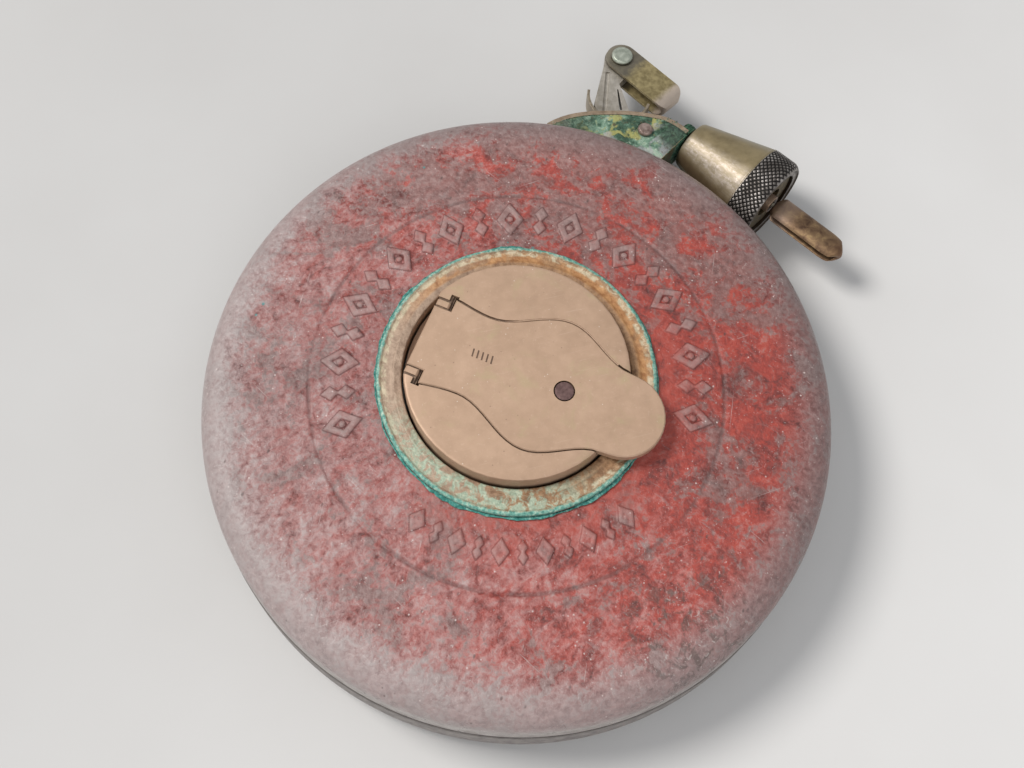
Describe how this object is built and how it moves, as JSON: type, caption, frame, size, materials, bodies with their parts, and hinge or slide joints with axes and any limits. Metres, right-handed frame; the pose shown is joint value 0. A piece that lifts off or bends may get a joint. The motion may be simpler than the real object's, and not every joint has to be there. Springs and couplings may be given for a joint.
{
  "type": "chalk line reel",
  "caption": "Round hand reel: a drum wound by a folding crank pays line out through a threaded spout with a screw-on cone nozzle and an end ring; a swinging bail hangs it.",
  "frame": {"origin": "middle of the whole footprint, on the plane of the flat back; the drum axis stands at x = -5 mm, y = -12.4 mm", "axes": "+Z along the drum axis, out of the crank side; +Y from the drum axis towards the hanger post; +X to the right of it seen from the crank side, so the spout leaves the rim at the upper right"},
  "size_m": [0.1304, 0.145, 0.0281],
  "materials": {
    "case_cover": "steel pressing covered with grained red leathercloth, worn to grey-mauve towards the rim",
    "polished_brass": "satin, handled brass with a pinkish tan",
    "aged_brass": "dull brass with green deposits in the corners",
    "nickel_silver": "worn nickel-plated brass, yellowish",
    "bronze": "brown bronze with ochre mottling",
    "steel": "plain steel, dull",
    "tinplate": "tinned sheet steel",
    "line": "twisted cord",
    "felt": "grey felt"
  },
  "bodies": {
    "case": {"front_shell": "case_cover", "back_shell": "case_cover", "face_collar": "aged_brass", "seam_hoop": "tinplate", "spindle": "steel", "back_washer": "aged_brass", "drag_washer": "felt", "spindle_washer": "steel", "spindle_nut": "steel", "mouth_block": "aged_brass", "saddle_strip": "aged_brass", "saddle_rivet_1": "aged_brass", "saddle_rivet_2": "aged_brass", "mouth_rivet_1": "aged_brass", "mouth_rivet_2": "aged_brass", "spout_stub": "aged_brass", "roller_pin": "nickel_silver", "line_run": "line", "post_cradle": "nickel_silver", "bail_post": "nickel_silver", "post_rivet": "aged_brass", "bail_rivet": "nickel_silver"},
    "roller": {"guide_roller": "bronze"},
    "drum": {"drum_core": "polished_brass", "core_bush": "bronze", "rear_flange": "tinplate", "front_flange": "tinplate", "line_coil": "line", "hub_disc": "polished_brass", "hub_screw_1": "steel", "hub_screw_2": "steel", "hub_screw_3": "steel", "leaf_spring": "steel", "leaf_rivet": "aged_brass", "hinge_pin": "steel"},
    "handle": {"crank_handle": "polished_brass", "knob_rivet": "aged_brass"},
    "knob": {"winding_knob": "polished_brass"},
    "gland": {"felt_wiper": "felt", "gland_washer": "aged_brass"},
    "nozzle": {"cone_nozzle": "nickel_silver", "nozzle_plug": "aged_brass"},
    "pull_end": {"end_ring": "bronze", "ring_ferrule": "bronze", "line_leader": "line", "line_knot": "line"},
    "bail": {"hanger_bail": "bronze"}
  },
  "joints": [
    {"name": "drum_spin", "type": "hinge", "parent": "case", "child": "drum", "pos_m": [-0.005, -0.0124, 0.0115], "axis": [0, 0, 1], "continuous": true},
    {"name": "handle_fold", "type": "hinge", "parent": "drum", "child": "handle", "pos_m": [-0.02174, -0.00627, 0.0267], "axis": [-0.3907, -0.9205, 0], "range_deg": [0, 180]},
    {"name": "knob_spin", "type": "hinge", "parent": "handle", "child": "knob", "pos_m": [0.00362, -0.01704, 0.021], "axis": [0, 0, 1], "continuous": true},
    {"name": "roller_spin", "type": "hinge", "parent": "case", "child": "roller", "pos_m": [0.0247, 0.0473, 0.0115], "axis": [0, 0, 1], "continuous": true},
    {"name": "nozzle_travel", "type": "slide", "parent": "case", "child": "gland", "axis": [0.7193, -0.6947, 0], "range_m": [0, 0.003]},
    {"name": "nozzle_turn", "type": "hinge", "parent": "gland", "child": "nozzle", "pos_m": [0.04397, 0.03831, 0.0115], "axis": [0.7193, -0.6947, 0], "range_deg": [0, 1080]},
    {"name": "line_pull", "type": "slide", "parent": "gland", "child": "pull_end", "axis": [0.7193, -0.6947, 0], "range_m": [0, 0.03]},
    {"name": "bail_swing", "type": "hinge", "parent": "case", "child": "bail", "pos_m": [0.0212, 0.0686, 0.0115], "axis": [0, 0, 1], "range_deg": [0, 200]}
  ],
  "couplings": [
    {"joint": "nozzle_travel", "follows": "nozzle_turn", "m_per_rad": 0.00015915}
  ]
}
